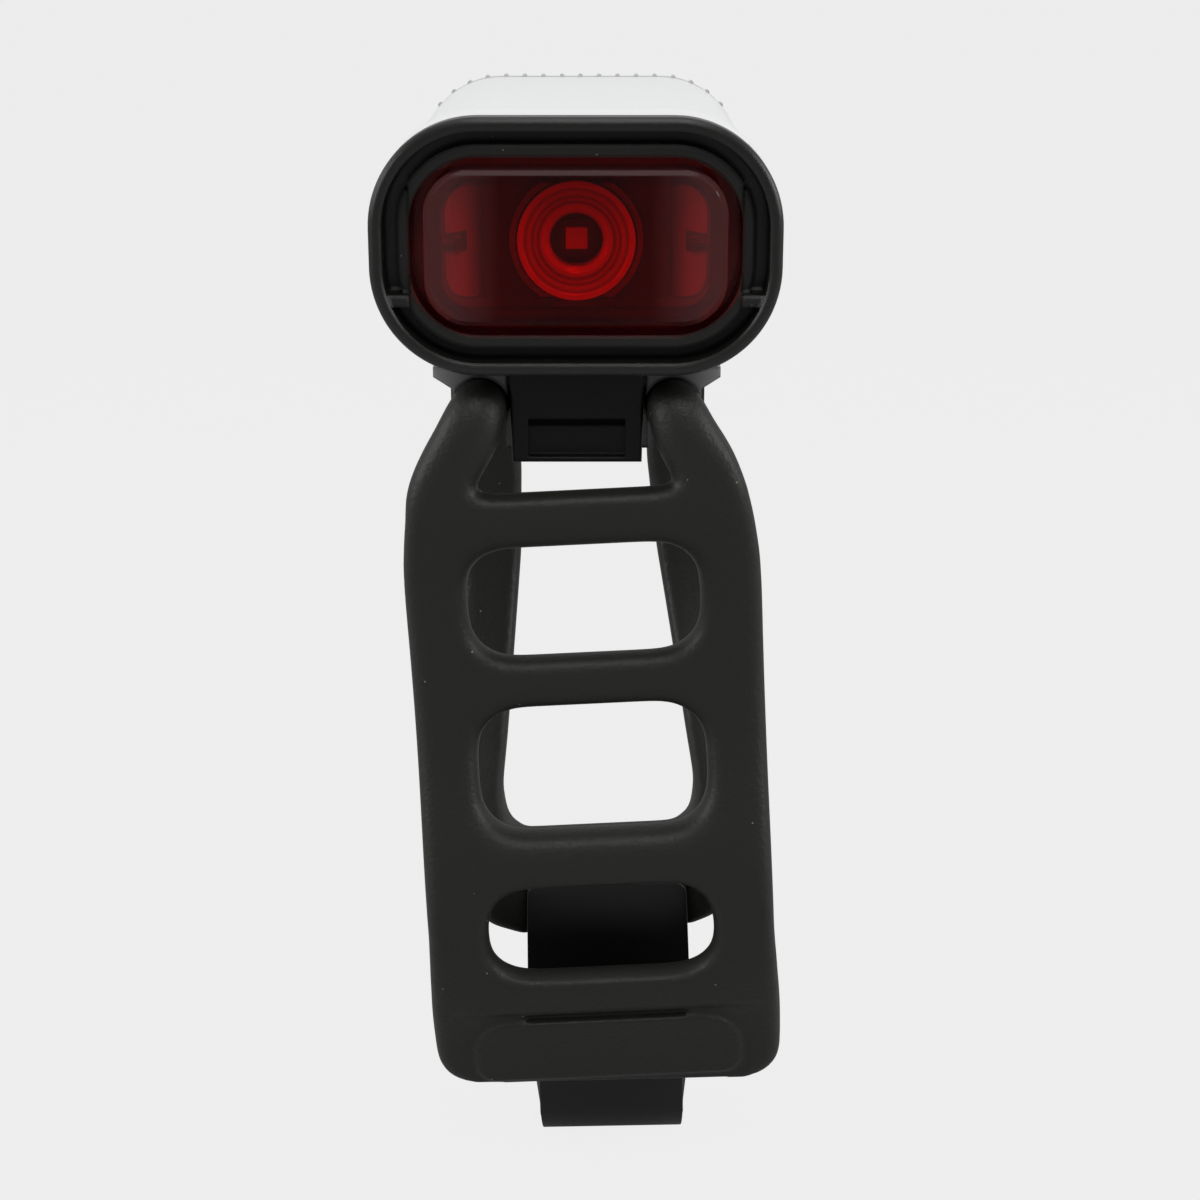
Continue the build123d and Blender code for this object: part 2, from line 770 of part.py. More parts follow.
# Push button: cap, retaining flange behind the wall and a plunger towards the switch
with BuildPart() as power_button:
    with BuildSketch(across(end_wall_front - running_gap)):
        with Locations((0, button_centre)):
            SlotOverall(button_width, button_height)
    extrude(amount=cap_end_wall + button_proud + running_gap)
    fillet(power_button.faces().sort_by(Axis.Y)[-1].edges(), 0.5)
    with BuildSketch(across(end_wall_front - running_gap)):
        with Locations((0, button_centre)):
            SlotOverall(button_width + 2 * button_flange, button_height + 2 * button_flange)
    extrude(amount=-button_flange_thickness)
    plunger_gap = button_travel + 2 * running_gap
    plunger_tip = switch_rear + switch_stem_length + plunger_gap
    with BuildSketch(across(end_wall_front - button_flange_thickness)):
        with Locations((0, board_top - switch_height * 0.62)):
            Circle(switch_stem_radius + 0.2)
    extrude(amount=-(end_wall_front - button_flange_thickness - plunger_tip))
power_button.part.label = "power_button"
export_step(power_button.part, "parts/power_button.step")

# Rubber flap over the charging port, with its hinge roll and a shallow plug
with BuildPart() as port_cover:
    flap_bottom = flap_top + flap_height
    with BuildSketch(beside(-flap_width / 2)):
        with Locations((flap_hinge_d, flap_hinge_h)):
            Circle(flap_hinge_radius)
        with BuildLine():
            Polyline(
                (flap_recess_front, flap_hinge_h),
                (head_length, flap_hinge_h),
                (head_length, flap_bottom),
                (flap_recess_front, flap_bottom),
                (flap_recess_front, flap_hinge_h),
            )
        make_face()
    extrude(amount=-flap_width)
    plug_width = port_width - 1.0
    with BuildSketch(across(flap_recess_front)):
        with Locations((0, port_centre + 0.15)):
            SlotOverall(plug_width, port_height - 1.6)
    extrude(amount=-0.5)
    lip_width = 4.0
    with BuildSketch(across(head_length)):
        with Locations((0, flap_bottom - 0.5)):
            SlotOverall(lip_width, 0.7)
    extrude(amount=0.35)
port_cover.part.label = "port_cover"
export_step(port_cover.part, "parts/port_cover.step")

# Four cap screws
with BuildPart() as cap_screws:
    corners = mirrored_pairs(cap_screw_x, [-cap_screw_h, cap_screw_h])
    with BuildSketch(across(head_length - cap_screw_head_height)):
        with Locations(*corners):
            Circle(cap_screw_head_radius)
    extrude(amount=cap_screw_head_height - 0.2)
    with BuildSketch(across(head_length - cap_screw_head_height)):
        with Locations(*corners):
            Circle(cap_screw_radius)
    extrude(amount=-cap_screw_length)
    with BuildSketch(across(head_length - 0.2)):
        with Locations(*corners):
            Rectangle(2.0, 0.45)
            Rectangle(0.45, 2.0)
    extrude(amount=-0.6, mode=Mode.SUBTRACT)
cap_screws.part.label = "cap_screws"
export_step(cap_screws.part, "parts/cap_screws.step")

# Bracket: wings, saddle, strap channels, rail slot and the lever's seat
slot_half_flange = rail_width / 2 + rail_clearance
slot_half_neck = rail_neck / 2 + rail_clearance
slot_top = rail_flange_top - rail_clearance
slot_bottom = rail_bottom + rail_clearance


def wing_profile(top):
    """Front view of plate and wings with the chamfered lower corners, from height top."""
    Polygon(
        (-wing_half_width, top),
        (wing_half_width, top),
        (wing_half_width, wing_bottom),
        (wing_chamfer_x, wing_chamfer_h),
        (-wing_chamfer_x, wing_chamfer_h),
        (-wing_half_width, wing_bottom),
        align=None,
    )


with BuildPart() as bracket:
    with BuildSketch(across(bracket_main_front)):
        wing_profile(plate_top)
    extrude(amount=bracket_rear - bracket_main_front)
    with BuildSketch(across(bracket_front)):
        wing_profile(front_plate_top)
        with Locations((0, wing_chamfer_h)):
            Rectangle(2 * wing_chamfer_x, 1.2, align=(Align.CENTER, Align.MIN))
    extrude(amount=bracket_main_front - bracket_front)
    with BuildSketch(across(channel_front)):
        with Locations((0, wing_chamfer_h)):
            Rectangle(
                2 * channel_wall_x,
                channel_wall_bottom - wing_chamfer_h,
                align=(Align.CENTER, Align.MIN),
            )
    extrude(amount=bracket_rear - 2 - channel_front)
    with BuildSketch(across(neck_front)):
        with Locations((0, wing_bottom)):
            Rectangle(
                2 * neck_half_width + 1.4,
                neck_bottom - wing_bottom,
                align=(Align.CENTER, Align.MIN),
            )
    extrude(amount=bracket_rear - 1.5 - neck_front)
    with BuildSketch(across(bracket_front)):
        with Locations(*mirrored_pairs(cord_x, [cord_h])):
            Circle(cord_radius + cord_clearance)
        with Locations(*mirrored_pairs(cord_x, [cord_h])):
            Rectangle(4.2, neck_bottom - cord_h, align=(Align.CENTER, Align.MIN))
    extrude(amount=bracket_rear - bracket_front, mode=Mode.SUBTRACT)
    with BuildSketch(beside()):
        with Locations((-front_y, saddle_apex + saddle_radius)):
            Circle(saddle_radius)
    extrude(amount=wing_half_width, both=True, mode=Mode.SUBTRACT)
    rail_end_stop = rail_rear + rail_clearance
    with BuildSketch(across(bracket_front)):
        with Locations((0, (slot_top + slot_bottom) / 2)):
            Rectangle(2 * slot_half_flange, slot_bottom - slot_top)
        with Locations((0, (plate_top + slot_top) / 2)):
            Rectangle(2 * slot_half_neck, slot_top - plate_top + 0.2)
    extrude(amount=rail_end_stop - bracket_front, mode=Mode.SUBTRACT)
    with BuildSketch(across(bracket_front)):
        with Locations((0, front_plate_top - 1)):
            Rectangle(
                2 * (lever_half_width + lever_side_gap),
                neck_bottom - front_plate_top + 1,
                align=(Align.CENTER, Align.MIN),
            )
    extrude(amount=lever_front + lever_thickness + 0.3 - bracket_front, mode=Mode.SUBTRACT)
    with BuildSketch(across(bracket_front)):
        with Locations((0, slot_bottom + 0.5)):
            Rectangle(
                2 * (lever_half_width + lever_side_gap),
                neck_bottom - slot_bottom,
                align=(Align.CENTER, Align.MIN),
            )
    extrude(amount=neck_front - bracket_front, mode=Mode.SUBTRACT)
    lug_slot_rear = lever_pivot_d + lever_lug_radius + 1.2
    with BuildSketch(across(bracket_front)):
        with Locations((0, lever_lug_top - 0.5)):
            Rectangle(
                lever_lug_width + 0.6,
                neck_bottom - lever_lug_top,
                align=(Align.CENTER, Align.MIN),
            )
    extrude(amount=lug_slot_rear - bracket_front, mode=Mode.SUBTRACT)
    with BuildSketch(beside()):
        with Locations((lever_pivot_d, lever_pivot_h)):
            Circle(pin_radius)
    extrude(amount=neck_half_width + 1, both=True, mode=Mode.SUBTRACT)
    with BuildSketch(across(neck_front)):
        with Locations(*mirrored_pairs(spring_x, [spring_h])):
            Circle(spring_radius + 0.15)
    extrude(amount=spring_seat_depth, mode=Mode.SUBTRACT)
bracket.part.label = "bracket"
export_step(bracket.part, "parts/bracket.step")

# Release lever: front tongue with a finger pocket, and the lug on its pin
with BuildPart() as release_lever:
    lever_rear = lever_front + lever_thickness
    with BuildSketch(across(lever_front)):
        with BuildLine():
            Polyline(
                (-lever_half_width, lever_top),
                (lever_half_width, lever_top),
                (lever_half_width - 0.2, lever_bottom),
                (-lever_half_width + 0.2, lever_bottom),
                (-lever_half_width, lever_top),
            )
        make_face()
    extrude(amount=lever_thickness)
    fillet(release_lever.faces().sort_by(Axis.Y)[0].edges(), 0.3)
    with BuildSketch(beside()):
        with BuildLine():
            Polyline(
                (lever_front, pocket_top - 0.5),
                (lever_front + pocket_depth, pocket_top + 0.4),
                (lever_front + pocket_depth, pocket_bottom),
                (lever_front, pocket_bottom + 0.1),
                (lever_front, pocket_top - 0.5),
            )
        make_face()
    extrude(amount=pocket_half_width, both=True, mode=Mode.SUBTRACT)
    with BuildSketch(beside()):
        with BuildLine():
            Polyline(
                (lever_rear, lever_lug_top),
                (lever_pivot_d, lever_pivot_h - lever_lug_radius),
                (lever_pivot_d, lever_pivot_h + lever_lug_radius),
                (lever_rear, lever_lug_bottom),
                (lever_rear, lever_lug_top),
            )
        make_face()
        with Locations((lever_pivot_d, lever_pivot_h)):
            Circle(lever_lug_radius)
            Circle(pin_radius + pin_clearance, mode=Mode.SUBTRACT)
    extrude(amount=lever_lug_width / 2, both=True)
release_lever.part.label = "release_lever"
export_step(release_lever.part, "parts/release_lever.step")

with BuildPart() as lever_pin:
    with BuildSketch(beside()):
        with Locations((lever_pivot_d, lever_pivot_h)):
            Circle(pin_radius)
    extrude(amount=neck_half_width - 0.2, both=True)
lever_pin.part.label = "lever_pin"
export_step(lever_pin.part, "parts/lever_pin.step")

# Two return springs between the neck and the lever's back
with BuildPart() as lever_springs:
    with BuildSketch(across(lever_rear)):
        with Locations(*mirrored_pairs(spring_x, [spring_h])):
            Circle(spring_radius)
            Circle(spring_radius - spring_wire, mode=Mode.SUBTRACT)
    extrude(amount=neck_front + spring_seat_depth - lever_rear)
lever_springs.part.label = "lever_springs"
export_step(lever_springs.part, "parts/lever_springs.step")

lean_run = math.radians(strap_lean)
lean_x = (math.cos(lean_run), 0, math.sin(lean_run))


def hanging_across(d):
    """Plane across the hanging strap at d: x is across, y is down along the strap."""
    return Plane(origin=(0, front_y + d, axis_z - lean_pivot), x_dir=lean_x, z_dir=(0, 1, 0))


def hanging_beside():
    """Side plane of the hanging strap: x is d backwards, y is down along the strap."""
    side = (-lean_x[0], 0, -lean_x[2])
    return Plane(origin=(0, front_y, axis_z - lean_pivot), x_dir=(0, 1, 0), z_dir=side)


def hanging(points):
    """Points given from the bezel's middle, moved to the strap's own planes."""
    return [(a, h - lean_pivot) for a, h in points]


def hook_across(d):
    """Plane across the hook at d: x is across, y is down along the hook."""
    turn = math.radians(hook_lean)
    origin = (hook_shift, front_y + d, axis_z - hook_top)
    return Plane(origin=origin, x_dir=(math.cos(turn), 0, math.sin(turn)), z_dir=(0, 1, 0))


def hook_beside():
    """Side plane of the hook: x is d backwards, y is down along the hook."""
    turn = math.radians(hook_lean)
    origin = (hook_shift, front_y, axis_z - hook_top)
    return Plane(origin=origin, x_dir=(0, 1, 0), z_dir=(-math.cos(turn), 0, -math.sin(turn)))


def on_hook(points):
    """Points given from the bezel's middle, moved to the hook's own planes."""
    return [(a, h - hook_top) for a, h in points]


def beside_line(points, distance):
    """A row of points moved sideways by distance, square to the row's own direction."""
    moved = []
    for number, (d, h) in enumerate(points):
        first = points[max(number - 1, 0)]
        last = points[min(number + 1, len(points) - 1)]
        run = Vector(last[0] - first[0], last[1] - first[1]).normalized()
        moved.append((d + run.Y * distance, h - run.X * distance))
    return moved


def both_sides(points):
    """A closed outline from its right-hand points, taken from the top to the bottom."""
    return points + [(-x, h) for x, h in reversed(points)]


def band_edges(points, ahead, behind):
    """Side view of a leg between two smooth rows, ahead of and behind a row of points."""
    front_row = beside_line(hanging(points), -ahead)
    back_row = beside_line(hanging(points), behind)
    return [
        Edge.make_spline(front_row),
        Edge.make_spline(back_row),
        Edge.make_line(front_row[0], back_row[0]),
        Edge.make_line(front_row[-1], back_row[-1]),
    ]


def arm_section(d, x, h, turn, way):
    """Plane of an arm's section, turned from along the cord (0) to straight down (90)."""
    along = way * math.cos(math.radians(turn))
    return Plane(
        origin=(x, front_y + d, axis_z - h),
        x_dir=(1, 0, 0),
        z_dir=(0, along, -math.sin(math.radians(turn))),
    )


def hook_front(h):
    """How far back the hook plate's front face stands at height h."""
    return hook_front_top + (h - hook_top) * hook_slope


# Rigid hook: plate with two studs, bend and tip
hook_slope = (hook_front_bottom - hook_front_top) / (hook_bend_h - hook_top)
bend_middle = hook_front_bottom + hook_thickness + hook_throat / 2
outer_bend = hook_throat / 2 + hook_thickness
bend_low = hook_bend_h + outer_bend
with BuildPart() as hook_widths:
    with BuildSketch(hook_across(0)) as plate_outline:
        plate_side = [
            (hook_width / 2 - 0.3, hook_top),
            (hook_width / 2, hook_waist),
            (hook_width / 2 - 0.1, hook_tip_h),
            (hook_neck_width / 2 + 0.2, hook_bend_h + 1.5),
            (hook_neck_width / 2, bend_low + 1),
        ]
        Polygon(*on_hook(both_sides(plate_side)), align=None)
        fillet(plate_outline.vertices().sort_by(Axis.Y)[:2], hook_corner)
    extrude(amount=bend_middle)
    with BuildSketch(hook_across(bend_middle)) as tip_outline:
        tip_side = [
            (hook_tip_width / 2, hook_tip_h),
            (hook_tip_width / 2 - 0.1, hook_bend_h - 1.5),
            (hook_neck_width / 2 + 0.2, hook_bend_h + 1.5),
            (hook_neck_width / 2, bend_low + 1),
        ]
        Polygon(*on_hook(both_sides(tip_side)), align=None)
        fillet(tip_outline.vertices().sort_by(Axis.Y)[:2], hook_corner)
    extrude(amount=bend_middle)

with BuildPart() as strap_hook:
    with BuildSketch(hook_beside()):
        bend = hook_bend_h - hook_top
        tip = hook_tip_h - hook_top
        top = 0
        inner_bend = hook_throat / 2
        with BuildLine():
            Line((hook_front_top, top), (hook_front_bottom, bend))
            ThreePointArc(
                (hook_front_bottom, bend),
                (bend_middle, bend + outer_bend),
                (bend_middle + outer_bend, bend),
            )
            Line((bend_middle + outer_bend, bend), (bend_middle + outer_bend + hook_tip_spread, tip))
            Line(
                (bend_middle + outer_bend + hook_tip_spread, tip),
                (bend_middle + inner_bend + hook_tip_spread, tip),
            )
            Line((bend_middle + inner_bend + hook_tip_spread, tip), (bend_middle + inner_bend, bend))
            ThreePointArc(
                (bend_middle + inner_bend, bend),
                (bend_middle, bend + inner_bend),
                (bend_middle - inner_bend, bend),
            )
            Line((bend_middle - inner_bend, bend), (hook_front_top + hook_thickness, top))
            Line((hook_front_top + hook_thickness, top), (hook_front_top, top))
        make_face()
    extrude(amount=hook_tip_width, both=True)
    add(hook_widths.part, mode=Mode.INTERSECT)
    stud_h = (hook_top + back_end) / 2 + 0.6
    with BuildSketch(hook_across(hook_front(stud_h) + hook_thickness / 2)):
        with Locations(*mirrored_pairs(hook_stud_spacing / 2, [stud_h - hook_top])):
            Circle(hook_stud_radius)
    extrude(amount=hook_thickness / 2 + hook_stud_length)
strap_hook.part.label = "strap_hook"
export_step(strap_hook.part, "parts/strap_hook.step")

# Front leg: its face seen from the side, and its half widths seen from the front
leg_face = [
    (2.5, 15.0),
    (1.5, 17.5),
    (0.9, 20.5),
    (1.0, 23.5),
    (1.9, 27.4),
    (3.1, 35.3),
    (3.3, 39.3),
    (2.75, 47.3),
    (0.9, 55.0),
    (-0.6, 62.9),
    (0.4, 70.8),
    (3.1, 78.3),
    (4.5, 84.0),
    (5.0, 88.0),
]
window_spans = [(27.4, 39.0), (43.6, 55.8), (60.6, 70.8)]
with BuildPart() as front_leg:
    with BuildSketch(hanging_beside()):
        make_face(band_edges(leg_face, 0, strap_thickness))
    extrude(amount=bezel_width, both=True)
    with BuildSketch(hanging_across(-10)) as leg_front:
        right_side = [
            (11.0, 16.2),
            (13.1, 17.4),
            (14.4, 19.8),
            (15.3, 22.7),
            (15.9, 25.5),
            (16.45, 29.9),
            (strap_half_width, 34.0),
            (strap_half_width, 66.0),
            (strap_end_half_width, 76.0),
        ]
        ends = [
            (strap_end_half_width, strap_end + strap_end_slope),
            (-strap_end_half_width, strap_end - strap_end_slope),
        ]
        left_side = both_sides(right_side)[len(right_side) :]
        Polygon(*hanging(right_side + ends + left_side), align=None)
        fillet(leg_front.vertices().sort_by(Axis.Y)[-2:], strap_end_corner)
        for top, bottom in window_spans:
            with Locations((0, (top + bottom) / 2 - lean_pivot)):
                RectangleRounded(
                    2 * window_half_width, bottom - top, window_corner, mode=Mode.SUBTRACT
                )
        arch = [
            (7.7, 15.0),
            (8.4, 17.2),
            (9.6, 19.0),
            (10.2, 20.4),
            (10.0, 21.5),
            (9.3, 22.2),
            (8.2, first_rung_top),
        ]
        Polygon(*hanging(both_sides(arch)), align=None, mode=Mode.SUBTRACT)
    extrude(amount=60, mode=Mode.INTERSECT)

# Raised thumb pad and the groove above it
pad_top = strap_end - pull_pad_inset - pull_pad_height
with BuildPart() as pull_pad:
    with BuildSketch(hanging_beside()):
        make_face(band_edges(leg_face, pull_pad_depth, strap_thickness / 2))
    extrude(amount=bezel_width, both=True)
    with BuildSketch(hanging_across(-10)) as pad_outline:
        with Locations((0, pad_top + pull_pad_height / 2 - lean_pivot)):
            Rectangle(2 * pull_pad_half_width, pull_pad_height)
        fillet(pad_outline.vertices().sort_by(Axis.Y)[:2], pull_pad_corner)
        fillet(pad_outline.vertices().sort_by(Axis.Y)[-2:], pull_pad_corner / 2)
    extrude(amount=60, mode=Mode.INTERSECT)
with BuildPart() as pull_groove:
    with BuildSketch(hanging_beside()):
        make_face(band_edges(leg_face, 2, pull_groove_depth))
    extrude(amount=bezel_width, both=True)
    with BuildSketch(hanging_across(-10)):
        with Locations((0, pad_top - pull_groove_height / 2 - lean_pivot)):
            SlotOverall(2 * pull_groove_half_width, pull_groove_height)
    extrude(amount=60, mode=Mode.INTERSECT)

# Back leg: its middle line seen from the side, then the block that holds the hook
back_line = [
    (41.0, 20.0),
    (42.0, 30.0),
    (40.5, 40.0),
    (36.0, 49.0),
    (28.0, 57.0),
    (19.0, 62.5),
    (14.6, 65.4),
    (12.6, 68.6),
    (12.2, 70.6),
    (12.2, back_end),
]
hook_seat = 0.6
with BuildPart() as back_leg:
    with BuildSketch(hanging_beside()):
        make_face(band_edges(back_line, back_thickness / 2, back_thickness / 2))
    extrude(amount=bezel_width, both=True)
    pad_front = hook_front(hook_top) + hook_thickness - hook_seat
    pad_front_low = hook_front(back_end) + hook_thickness - hook_seat
    block = [(pad_front, hook_top - 0.8), (17.0, 62.0), (13.9, 66.5), (13.9, back_end)]
    with BuildSketch(hanging_beside()):
        Polygon(*hanging(block + [(pad_front_low, back_end)]), align=None)
    extrude(amount=bezel_width, both=True)
    with BuildSketch(hanging_across(-10)):
        back_side = [
            (12.2, 19.0),
            (13.6, 35.0),
            (14.6, 50.0),
            (15.0, 60.0),
            (14.6, 63.0),
            (13.5, 66.3),
            (11.4, 69.2),
            (8.0, 70.5),
            (4.0, back_end - 0.2),
        ]
        Polygon(*hanging(both_sides(back_side)), align=None)
        opening = [
            (7.4, 18.0),
            (7.2, 24.0),
            (6.9, 29.0),
            (7.5, 39.0),
            (8.75, 49.0),
            (9.6, 56.0),
            (10.2, 60.0),
            (9.5, 62.2),
            (7.6, 63.2),
        ]
        Polygon(*hanging(both_sides(opening)), align=None, mode=Mode.SUBTRACT)
    extrude(amount=70, mode=Mode.INTERSECT)
    add(strap_hook.part, mode=Mode.SUBTRACT)

# Oval sections of the arms between cords and legs: d, x, h, turn, width, thickness
front_arm = [
    (cord_front, cord_x, cord_h, 0, 2 * cord_radius, 2 * cord_radius),
    (3.4, 9.35, 15.7, 45, 5.8, 4.8),
    (2.9, 10.4, 18.2, 80, 6.6, 4.2),
    (2.75, 12.05, 21.4, 90, 6.4, 3.5),
    (2.9, 12.8, 25.5, 90, 5.2, 2.6),
]
back_arm = [
    (cord_rear, cord_x, cord_h, 0, 2 * cord_radius, 2 * cord_radius),
    (39.7, 9.0, 15.8, 45, 5.2, 4.8),
    (40.8, 9.6, 18.3, 85, 5.6, 4.2),
    (41.3, 9.9, 21.0, 90, 5.4, 3.2),
    (41.6, 10.2, 24.0, 90, 4.6, 2.6),
]

# One rubber moulding: two round cords in the bracket's channels, arms, legs, pull pad
with BuildPart() as cords:
    for side in (-1, 1):
        with BuildSketch(across(cord_front)):
            with Locations((side * cord_x, cord_h)):
                Circle(cord_radius)
        extrude(amount=cord_rear - cord_front)
        for way, arm in ((-1, front_arm), (1, back_arm)):
            d, x, h, turn, width, thickness = arm[0]
            with BuildSketch(arm_section(d, side * x, h, turn, way)):
                Circle(cord_radius)
            for d, x, h, turn, width, thickness in arm[1:]:
                with BuildSketch(arm_section(d, side * x, h, turn, way)):
                    Ellipse(width / 2, thickness / 2)
            loft()
with BuildPart() as strap:
    add(front_leg.part)
    add(pull_pad.part)
    add(pull_groove.part, mode=Mode.SUBTRACT)
    add(back_leg.part)
    add(cords.part)
strap.part.label = "strap"
export_step(strap.part, "parts/strap.step")
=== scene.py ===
import math

import bmesh
import bpy
from mathutils import Matrix, Vector


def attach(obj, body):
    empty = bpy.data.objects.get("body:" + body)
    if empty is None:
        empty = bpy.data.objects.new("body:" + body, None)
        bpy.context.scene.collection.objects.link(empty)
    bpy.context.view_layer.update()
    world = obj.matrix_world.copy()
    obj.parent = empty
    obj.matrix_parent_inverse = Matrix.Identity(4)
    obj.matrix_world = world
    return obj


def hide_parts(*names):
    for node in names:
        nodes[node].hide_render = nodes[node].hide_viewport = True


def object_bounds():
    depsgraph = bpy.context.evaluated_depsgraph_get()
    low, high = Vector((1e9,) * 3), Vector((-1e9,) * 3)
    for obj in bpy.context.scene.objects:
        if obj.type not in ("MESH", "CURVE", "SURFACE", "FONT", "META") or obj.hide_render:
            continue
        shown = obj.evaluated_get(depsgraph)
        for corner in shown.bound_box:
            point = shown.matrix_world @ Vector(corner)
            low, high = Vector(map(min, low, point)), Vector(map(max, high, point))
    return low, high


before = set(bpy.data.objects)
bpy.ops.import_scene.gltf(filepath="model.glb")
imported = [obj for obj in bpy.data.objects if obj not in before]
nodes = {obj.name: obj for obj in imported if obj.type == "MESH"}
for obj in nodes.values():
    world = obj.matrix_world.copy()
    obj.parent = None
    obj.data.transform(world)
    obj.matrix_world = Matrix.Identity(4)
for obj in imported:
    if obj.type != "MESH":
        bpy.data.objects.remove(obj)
cad_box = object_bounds()

MM = 0.001


def node_box(node):
    """The low and high corners of a CAD node's box, in metres."""
    corners = nodes[node].bound_box
    return [[pick(corner[i] for corner in corners) for i in range(3)] for pick in (min, max)]


# Lengths are in mm. A depth runs back from the bezel's front, and h runs down from its middle.
BEZEL_LOW, BEZEL_HIGH = [[round(value / MM, 2) for value in c] for c in node_box("front_bezel")]
FRONT_Y = BEZEL_LOW[1]
AXIS_Z = (BEZEL_LOW[2] + BEZEL_HIGH[2]) / 2
BEZEL_HALF_X = BEZEL_HIGH[0]
BEZEL_HALF_Z = BEZEL_HIGH[2] - AXIS_Z
BEZEL_CORNER = 9.5
RIM_DEPTH = 2.2
LENS_FACE_HALF_Z = 6.2
DIE_HALF = 0.96
# Depth in mm of the painted shade band along the white shell's rear edge
REAR_SHADE_DEPTH = 1.8

# The strap hangs with a slight lean about a point under the bracket
LEAN = math.radians(2.9)
LEAN_PIVOT = 22.0
LEG_REAR = 8.0
CORDS_END = 24.0
PAD_HALF_WIDTH = 13.4
PAD_TOP = 74.6
PAD_REAR = 6.0
PAD_BLEND = 2.4
STRAP_VOXEL = 0.22
STRAP_FILL = 0.2

# The hook leans less, about the top of its plate
HOOK_LEAN = math.radians(1.2)
HOOK_TOP = 64.2
HOOK_SHIFT = 2.75
HOOK_HALF_WIDTH = 8.4
HOOK_NARROWING = 1.05
HOOK_NARROW_FROM = 17.8
HOOK_FRONT_DEPTH = 11.8
HOOK_BLEND = 2.0
HOOK_ROUND = 0.5


def clamp(value, low, high):
    """The value, held between low and high."""
    return min(max(value, low), high)


def lin(value):
    """One sRGB channel from 0 to 255 as linear light."""
    v = value / 255
    if v <= 0.04045:
        return v / 12.92
    return ((v + 0.055) / 1.055) ** 2.4


def rgb(r, g, b):
    """An sRGB colour as linear RGBA."""
    return (lin(r), lin(g), lin(b), 1)


SHELL_WHITE = rgb(236, 237, 237)
PALE = rgb(237, 237, 237)


# Small parts of node trees
def calc(tree, operation, *values):
    """The output of one Math node, where a value is a number or another node's output."""
    node = tree.nodes.new("ShaderNodeMath")
    node.operation = operation
    for socket, value in zip(node.inputs, values):
        if isinstance(value, bpy.types.NodeSocket):
            tree.links.new(value, socket)
        else:
            socket.default_value = value
    return node.outputs[0]


def ranged(tree, source, low, high, at_low, at_high):
    """A value that runs from at_low to at_high as the source runs from low to high."""
    node = tree.nodes.new("ShaderNodeMapRange")
    for number, value in enumerate((low, high, at_low, at_high), 1):
        node.inputs[number].default_value = value
    tree.links.new(source, node.inputs[0])
    return node.outputs[0]


def ranged_mm(tree, source, low, high, at_low, at_high):
    """The same as ranged, with low and high in mm."""
    return ranged(tree, source, low * MM, high * MM, at_low, at_high)


def object_axes(tree):
    """The three object-space coordinates, in metres from the frame's origin."""
    coord = tree.nodes.new("ShaderNodeTexCoord")
    axes = tree.nodes.new("ShaderNodeSeparateXYZ")
    tree.links.new(coord.outputs["Object"], axes.inputs[0])
    return axes.outputs


def from_middle(tree, source, middle):
    """Distance of a coordinate from a middle value in mm."""
    return calc(tree, "ABSOLUTE", calc(tree, "SUBTRACT", source, middle * MM))


def beyond(tree, source, start):
    """How far a distance reaches past a start in mm, and zero before it."""
    return calc(tree, "MAXIMUM", calc(tree, "SUBTRACT", source, start * MM), 0.0)


def flat_length(tree, first, second):
    """Length of a flat vector from its two parts."""
    flat = tree.nodes.new("ShaderNodeCombineXYZ")
    length = tree.nodes.new("ShaderNodeVectorMath")
    length.operation = "LENGTH"
    tree.links.new(first, flat.inputs[0])
    tree.links.new(second, flat.inputs[1])
    tree.links.new(flat.outputs[0], length.inputs[0])
    return length.outputs["Value"]


def mixed_color(tree, factor, first, second):
    """A colour that goes over from the first to the second by the factor."""
    mix = tree.nodes.new("ShaderNodeMix")
    mix.data_type = "RGBA"
    tree.links.new(factor, mix.inputs[0])
    mix.inputs[7].default_value = second
    if isinstance(first, bpy.types.NodeSocket):
        tree.links.new(first, mix.inputs[6])
    else:
        mix.inputs[6].default_value = first
    return mix.outputs[2]


def mixed_shader(tree, first, second):
    """A mix of two shaders, with the second's share as its first input."""
    mix = tree.nodes.new("ShaderNodeMixShader")
    tree.links.new(first.outputs[0], mix.inputs[1])
    tree.links.new(second.outputs[0], mix.inputs[2])
    return mix


def add_grain(tree, bsdf, strength, scale, edge):
    """A fine noise bump in object space. Edges shade as if rounded by edge mm."""
    coord = tree.nodes.new("ShaderNodeTexCoord")
    noise = tree.nodes.new("ShaderNodeTexNoise")
    noise.inputs["Scale"].default_value = scale
    noise.inputs["Detail"].default_value = 4
    bump = tree.nodes.new("ShaderNodeBump")
    bump.inputs["Strength"].default_value = strength
    bump.inputs["Distance"].default_value = 0.2 * MM
    tree.links.new(coord.outputs["Object"], noise.inputs["Vector"])
    tree.links.new(noise.outputs[0], bump.inputs["Height"])
    tree.links.new(bump.outputs[0], bsdf.inputs["Normal"])
    if edge:
        rounded = tree.nodes.new("ShaderNodeBevel")
        rounded.inputs["Radius"].default_value = edge * MM
        tree.links.new(rounded.outputs[0], bump.inputs["Normal"])


# Kinds of material
def new_material(name):
    """An empty node material with its output."""
    mat = bpy.data.materials.new(name)
    mat.use_nodes = True
    tree = mat.node_tree
    tree.nodes.clear()
    out = tree.nodes.new("ShaderNodeOutputMaterial")
    return mat, tree, out


def principled(name, color, roughness, specular=0.5, metallic=0.0):
    """A material with one Principled shader."""
    mat, tree, out = new_material(name)
    bsdf = tree.nodes.new("ShaderNodeBsdfPrincipled")
    bsdf.inputs["Base Color"].default_value = color
    bsdf.inputs["Roughness"].default_value = roughness
    bsdf.inputs["Metallic"].default_value = metallic
    bsdf.inputs["Specular IOR Level"].default_value = specular
    tree.links.new(bsdf.outputs[0], out.inputs[0])
    return mat, tree, bsdf


